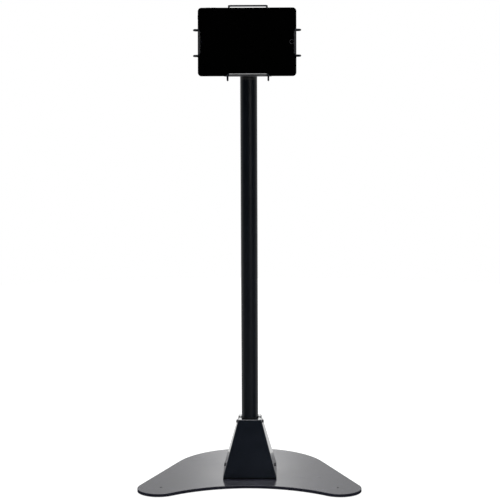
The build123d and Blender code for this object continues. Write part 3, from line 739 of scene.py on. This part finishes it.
class STAND_OT_tablet_details(Operator):
    """Lenses and keys of the tablet, and near-black slabs that are painted shade for its port and
    speaker slots
    """
    bl_idname = "stand.tablet_details"
    bl_label = "Tablet details"

    def slab(self, width, height, place, thickness=0.9 * MM, corner=0.9 * MM, edge=0.25 * MM):
        bm = rounded_slab(width, height, thickness, corner, edge, 5)
        bmesh.ops.transform(bm, matrix=place, verts=bm.verts)
        return bm

    def execute(self, context):
        left, right = span("tablet_body", SIDEWAYS)
        low, high = span("tablet_body", HEAD_UP)
        back, front = span("tablet_body", SCREEN_OUT)
        glass = span("tablet_glass", SCREEN_OUT)[1]
        wall = front - 1.6 * MM

        lens = bmesh.new()
        r = sizes().front_lens
        turned(lens, [(0, 0.01 * MM), (r * 0.6, 0.012 * MM), (r * 0.8, 0.03 * MM), (r, 0.03 * MM),
                      (r, -0.2 * MM), (0, -0.2 * MM)], 40,
               in_head(left + 9.6 * MM, 0, glass))
        rear = bmesh.new()
        r = sizes().rear_lens
        turned(rear, [(0, 0.05 * MM), (r * 0.62, 0.05 * MM), (r * 0.7, 0.22 * MM), (r, 0.22 * MM),
                      (r + 0.2 * MM, 0.05 * MM), (r + 0.2 * MM, -0.3 * MM), (0, -0.3 * MM)], 56,
               in_head(left + 14 * MM, high - 14 * MM, back, math.pi))
        add_piece("tablet_lenses", merged([lens, rear]), lens_glass("lens", colours().lens),
                  "cradle")

        keys = []
        for x, length in ((left + 26 * MM, 11 * MM), (left + 40 * MM, 11 * MM)):
            keys.append(self.slab(length, 2.0 * MM, in_head(x, high, wall, -math.pi / 2)))
        keys.append(self.slab(2.0 * MM, 10 * MM,
                              in_head(left, high - 24 * MM, wall, -math.pi / 2, "Y")))
        add_piece("tablet_keys", merged(keys), bpy.data.materials["tablet_shell"], "cradle")

        # The port and speaker openings are not cut: thin near-black slabs on the side are painted
        # shade in their place
        slots = []
        for y, length in ((0, 8.8 * MM), (44 * MM, 16 * MM), (-44 * MM, 16 * MM)):
            place = in_head(right - 0.1 * MM, y, wall, math.pi / 2, "Y")
            slots.append(self.slab(2.2 * MM, length, place, 0.3 * MM, 1.0 * MM, 0.1 * MM))
        add_piece("tablet_slot_shades", merged(slots), soft_rubber("slot_painted_shade", colours().slot),
                  "cradle")
        return {"FINISHED"}


class STAND_OT_knob_caps(Operator):
    """Dished caps in the middle of the knobs"""
    bl_idname = "stand.knob_caps"
    bl_label = "Knob caps"

    def cap(self, radius, place):
        bm = bmesh.new()
        turned(bm, [(0, 0.25 * MM), (radius * 0.55, 0.35 * MM), (radius * 0.8, 0.75 * MM),
                    (radius * 0.93, 0.8 * MM), (radius, 0.55 * MM), (radius, -0.4 * MM),
                    (0, -0.4 * MM)], 64, place)
        return bm

    def execute(self, context):
        plastic = moulded_plastic("cap_gloss", colours().plastic, 0.2, 0.000006)
        reach = span("tilt_knob", SIDEWAYS)[1]
        place = (Matrix.Translation(TILT_AXIS + reach * SIDEWAYS)
                 @ Matrix.Rotation(math.pi / 2, 4, "Y"))
        cap = self.cap(sizes().large_knob_cap, place)
        add_piece("tilt_knob_cap", cap, plastic, "tilt_knob")
        for side, node in zip(SIDES, on_each_side("lock_screw")):
            local = HEAD.inverted() @ Vector(JOINTS[node + "_turn"]["pos_m"])
            rear = span(node, SCREEN_OUT)[0]
            cap = self.cap(sizes().knob_cap, in_head(local.x, local.y, rear, math.pi))
            add_piece(side + "_knob_cap", cap, plastic, node)
        return {"FINISHED"}


# ---------------------------------------------------------------- operator: stage

class STAND_OT_stage(Operator):
    """Pale floor, plain soft light and the camera at the photograph's angle"""
    bl_idname = "stand.stage"
    bl_label = "Stage"

    def floor_material(self):
        material, s = new_finish("floor_paint")
        seen, glossy = s.rays()
        y = s.node("ShaderNodeSeparateXYZ", None, {"Vector": s.place()}, output="Y")
        # What mirrors see: bright behind the stand, dark in front, with a dim band further out
        rear = s.between(y, -0.15, 0.1, 0.01, 0.8)
        band = s.between(y, -0.4, -0.6, 0.0, 0.4) * s.between(y, -1.3, -1.0)
        paint = s.node("ShaderNodeBsdfDiffuse", None, {"Color": shade(colours().floor)})
        dull = s.node("ShaderNodeBsdfDiffuse", None, {"Color": shade(colours().floor, 0.5)})
        bright = s.node("ShaderNodeEmission", None, {"Color": WHITE, "Strength": 0.78})
        white = s.node("ShaderNodeAddShader", None, {0: dull, 1: bright})
        mirror = s.node("ShaderNodeEmission", None, {"Color": WHITE, "Strength": rear + band})
        first = s.node("ShaderNodeMixShader", None, {0: glossy, 1: paint, 2: mirror})
        s.join_output(s.node("ShaderNodeMixShader", None, {0: seen, 1: first, 2: white}))
        return material

    def world(self):
        world = bpy.data.worlds.new("studio")
        world.use_nodes = True
        world.cycles.sampling_method = "NONE"
        bpy.context.scene.world = world
        s = Shading(world.node_tree)
        seen, glossy = s.rays()
        direction = s.node("ShaderNodeTexCoord", output="Generated")
        x, y, z = (s.node("ShaderNodeSeparateXYZ", None, {"Vector": direction}, output=axis)
                   for axis in "XYZ")
        # What mirrors see: a pale wall behind, a glow low in its middle, a lamp and a strip light
        behind = s.between(y, -0.1, 0.45, 0.00375, 0.75)
        aside = x + 0.016
        glow = (s.between(aside * aside, 0.0, 0.0012, 1.4, 0.0) * s.between(y, 0.3, 0.8)
                * s.between(z, 0.1, 0.2))
        above = s.between(z, 0.75, 0.85, 0.0, 7.5) * s.between(y, -0.02, -0.2)
        strip = (s.between(x, 0.2, 0.3) * s.between(x, 0.55, 0.45) * s.between(y, 0.0, -0.2)
                 * s.between(z, -0.1, 0.0, 0.0, 6.0) * s.between(z, 0.1, 0.04))
        ambient = 0.75
        strength = ((1 - seen) * (glossy * (behind + glow + above + strip)
                                  + (1 - glossy) * ambient) + seen)
        sky = s.node("ShaderNodeBackground", None, {"Color": WHITE, "Strength": strength})
        s.join_output(sky, "ShaderNodeOutputWorld")

    def lamp(self):
        # Square lamp high over the plate, aimed at the upper pole
        place, target = Vector((0, 0.15, 2.75)), Vector((0, 0, 1.0))
        light = bpy.data.lights.new("top_lamp", "AREA")
        light.shape = "RECTANGLE"
        light.size = light.size_y = 1.0
        light.energy = 30
        lamp = bpy.data.objects.new("top_lamp", light)
        bpy.context.scene.collection.objects.link(lamp)
        aim = (place - target).to_track_quat("Z", "Y").to_matrix().to_4x4()
        lamp.matrix_world = Matrix.Translation(place) @ aim
        lamp.visible_camera = False
        lamp.visible_glossy = False

    def camera(self):
        # Pinhole camera that was fitted to the pole, the plate and the tablet
        distance, height = 3.9447, 1.163
        pitch, roll = math.radians(7.895), math.radians(-0.222)
        azimuth, aim = math.radians(0.9), math.radians(-0.027)
        pole = middle("pole")
        place = (pole.x + distance * math.sin(azimuth),
                 pole.y - distance * math.cos(azimuth), height)
        data = bpy.data.cameras.new("camera")
        data.sensor_width, data.lens = 36, 108
        camera = bpy.data.objects.new("camera", data)
        bpy.context.scene.collection.objects.link(camera)
        camera.matrix_world = (Matrix.Translation(place)
                               @ Matrix.Rotation(azimuth + aim, 4, "Z")
                               @ Matrix.Rotation(math.pi / 2 - pitch, 4, "X")
                               @ Matrix.Rotation(roll, 4, "Z"))
        bpy.context.scene.camera = camera

    def execute(self, context):
        floor_radius = 3.4
        bm = bmesh.new()
        bmesh.ops.create_circle(bm, cap_ends=True, segments=96, radius=floor_radius)
        mesh = bpy.data.meshes.new("floor")
        bm.to_mesh(mesh)
        bm.free()
        mesh.materials.append(self.floor_material())
        floor = bpy.data.objects.new("floor", mesh)
        bpy.context.scene.collection.objects.link(floor)
        self.world()
        self.lamp()
        self.camera()
        bpy.context.scene.view_settings.view_transform = "Standard"
        return {"FINISHED"}


# ---------------------------------------------------------------- panel and registering

STEPS = (
    STAND_OT_coat_base, STAND_OT_coat_column, STAND_OT_coat_head, STAND_OT_plate_hardware,
    STAND_OT_finish_tablet, STAND_OT_foam_sheet, STAND_OT_neck_weld, STAND_OT_arm_welds,
    STAND_OT_button_ring, STAND_OT_tablet_details, STAND_OT_knob_caps, STAND_OT_stage,
)


class STAND_PT_panel(Panel):
    """Sizes, colours and steps of the floor stand"""
    bl_idname = "STAND_PT_panel"
    bl_label = "Floor stand"
    bl_space_type = "VIEW_3D"
    bl_region_type = "UI"
    bl_category = "Floor stand"

    def draw(self, context):
        layout = self.layout
        for group in (context.scene.stand_sizes, context.scene.stand_colours):
            for name in group.__annotations__:
                layout.prop(group, name)
        for step in STEPS:
            layout.operator(step.bl_idname)


CLASSES = (StandSizes, StandColours, *STEPS, STAND_PT_panel)


def register():
    for cls in CLASSES:
        bpy.utils.register_class(cls)
    bpy.types.Scene.stand_sizes = PointerProperty(type=StandSizes)
    bpy.types.Scene.stand_colours = PointerProperty(type=StandColours)


def unregister():
    del bpy.types.Scene.stand_sizes
    del bpy.types.Scene.stand_colours
    for cls in reversed(CLASSES):
        bpy.utils.unregister_class(cls)


def main():
    register()
    for step in STEPS:
        group, action = step.bl_idname.split(".")
        getattr(getattr(bpy.ops, group), action)()


if __name__ == "__main__":
    main()
